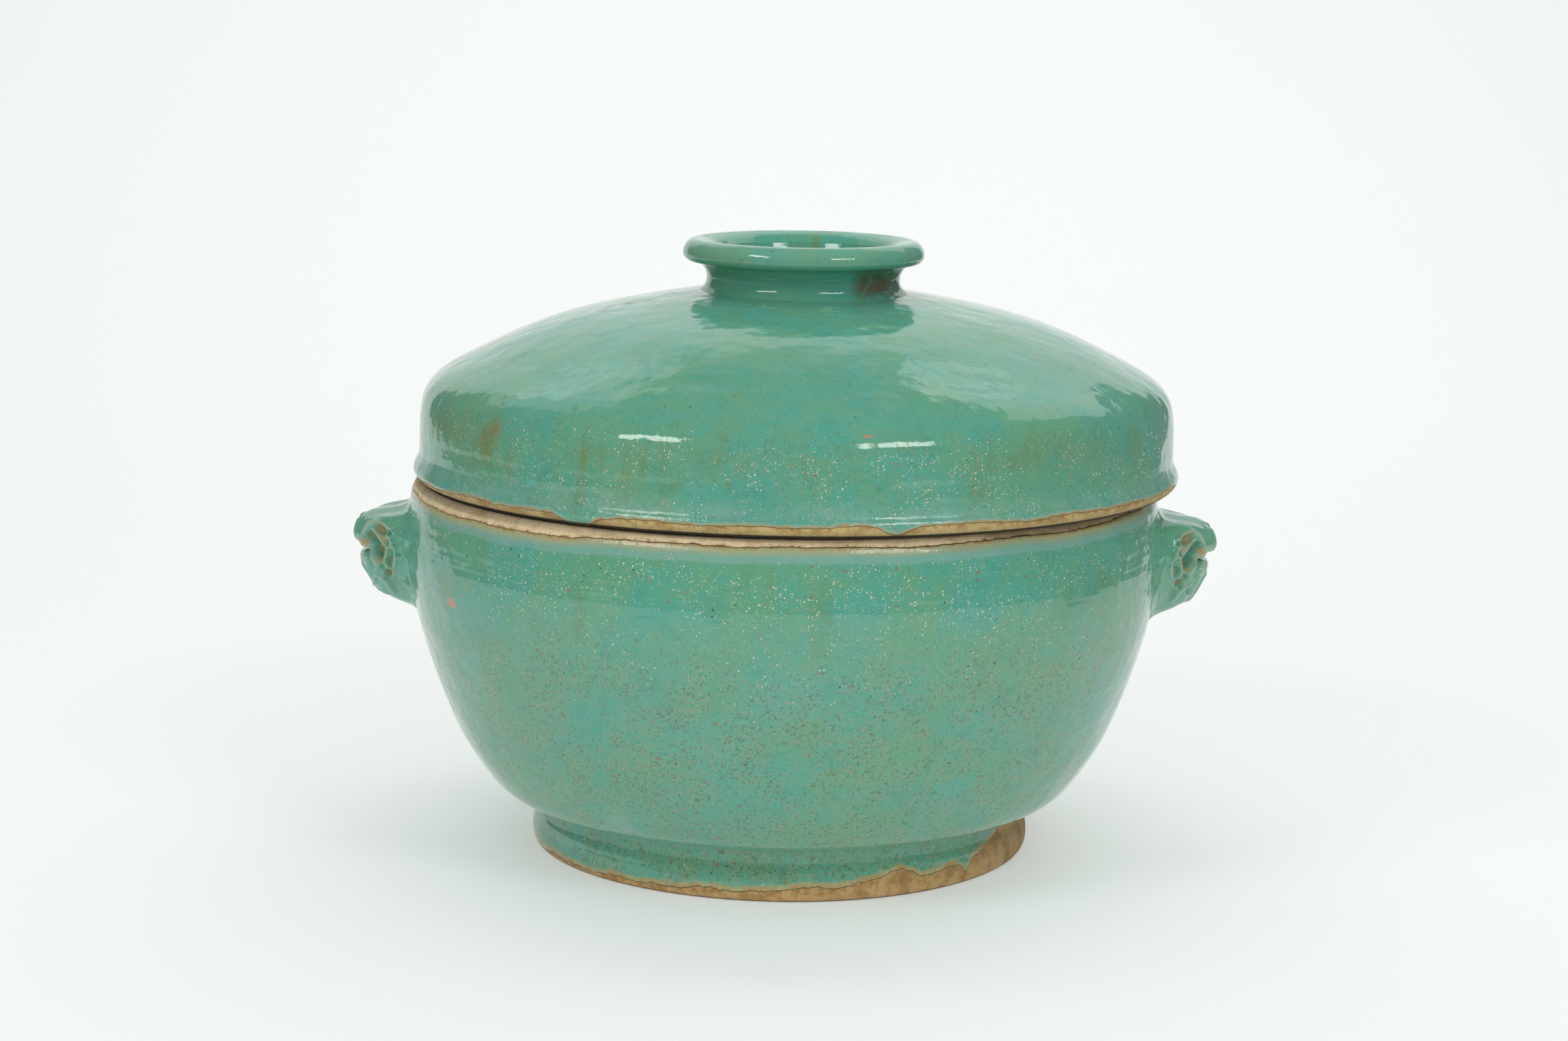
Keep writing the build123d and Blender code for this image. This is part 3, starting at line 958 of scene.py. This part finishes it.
makeBowl()
print("bowl made")
makeFoot()
print("foot ring made")
makeLid()
print("lid made")
makeFlange()
print("flange made")
makeKnob()
print("knob made")
makeMask("mask_right_body", "beast_mask_right", 1.0, "right")
makeMask("mask_left_body", "beast_mask_left", -1.0, "left")
print("masks made")


# lengths in metres, powers in watts
studio = {
    "camera": {"place": (0.0, -1.0363, 0.2873), "tilt": 80.208, "roll": 0.9, "lens": 71.63},
    "paper": {"colour": (0.66, 0.675, 0.664), "top": (0.12, 0.12, 0.12), "glow": 0.33,
              "tint": (0.97, 1.0, 0.98, 1.0), "left": -0.90, "right": 0.66, "front": -0.70,
              "bend": 0.75, "curve": 0.45, "height": 2.1, "fade": (900.0, 1700.0)},
    "world": 0.16,
    # name, place, aim, (width, height), power, and whether the glaze reflects it
    "lamps": [
        ("overhead", (0.18, -0.05, 1.50), (0.10, -0.05, 0.0), (2.4, 2.2), 12.0, False),
        ("strobe_left", (-1.08, -1.00, 1.20), (0.0, 0.0, 0.12), (0.60, 0.26), 4.6, True),
        ("strobe_right", (0.84, -1.20, 1.20), (0.0, 0.0, 0.12), (0.60, 0.26), 4.6, True),
        ("card_right", (0.86, 1.00, 1.36), (0.05, 0.0, 0.16), (0.95, 0.80), 2.4, True),
        ("card_left", (-0.80, 1.00, 1.36), (-0.05, 0.0, 0.16), (0.80, 0.70), 1.0, True),
        ("front_fill", (0.0, -1.75, 0.50), (0.0, 0.0, 0.05), (3.0, 0.9), 12.5, False),
        ("wall_light", (0.0, 0.35, 1.55), (0.0, 1.2, 0.35), (1.4, 0.4), 3.8, False),
    ],
}


def makeSweep():
    # white paper: a flat floor, a quarter circle (bend + r sin(a), r - r cos(a)), and a wall whose
    # colour is painted darker with z - |x| / 2 as the shade of the room; the paper also glows
    # evenly, which lifts its shadows
    paper = studio["paper"]
    bend, radius = paper["bend"], paper["curve"]
    angle = np.linspace(0, np.pi / 2, 40)
    y = np.r_[np.linspace(paper["front"], bend, 60)[:-1], bend + radius * np.sin(angle),
              bend + radius]
    z = np.r_[np.zeros(59), radius * (1 - np.cos(angle)), paper["height"]]
    x = np.linspace(paper["left"], paper["right"], 30)
    points = np.stack(np.broadcast_arrays(x[:, None], y[None, :], z[None, :]), -1)
    sweep = gridMesh("sweep", points, False, False)
    s = Shader("paper")
    shade = s.band(s.z - s.x.size() * 0.5, *paper["fade"])
    colour = s.mix(shade, paper["colour"], paper["top"])
    sweep.data.materials.append(s.finish({"Base Color": colour, "Roughness": 0.9, "IOR": 1.1,
                                          "Emission Color": paper["tint"],
                                          "Emission Strength": paper["glow"]}))


def makeLamp(name, place, aim, size, power, reflected):
    # a rectangular lamp at place, its -z axis pointing at aim
    lamp = bpy.data.lights.new(name, "AREA")
    lamp.shape = "RECTANGLE"
    lamp.size, lamp.size_y = size
    lamp.energy = power
    holder = bpy.data.objects.new(name, lamp)
    bpy.context.collection.objects.link(holder)
    holder.location = place
    aimed = Vector(aim) - Vector(place)
    holder.rotation_euler = aimed.to_track_quat("-Z", "Y").to_euler()
    holder.visible_glossy = reflected


def makeCamera():
    # move to its place, then tilt about x, then roll about its own line of sight
    camera = studio["camera"]
    data = bpy.data.cameras.new("camera")
    data.lens = camera["lens"]
    data.sensor_width = 36.0
    data.clip_start = 0.05
    holder = bpy.data.objects.new("camera", data)
    bpy.context.collection.objects.link(holder)
    tilt = Matrix.Rotation(math.radians(camera["tilt"]), 4, "X")
    roll = Matrix.Rotation(math.radians(camera["roll"]), 4, "Z")
    holder.matrix_world = Matrix.Translation(camera["place"]) @ tilt @ roll
    bpy.context.scene.camera = holder


def makeWorld():
    # the same faint white light all round
    world = bpy.data.worlds.new("room")
    world.use_nodes = True
    room = world.node_tree.nodes["Background"]
    room.inputs["Color"].default_value = (1.0, 1.0, 1.0, 1.0)
    room.inputs["Strength"].default_value = studio["world"]
    bpy.context.scene.world = world


makeSweep()
makeWorld()
makeCamera()
for lamp in studio["lamps"]:
    makeLamp(*lamp)
bpy.context.scene.view_settings.view_transform = "Standard"
print("stage made")
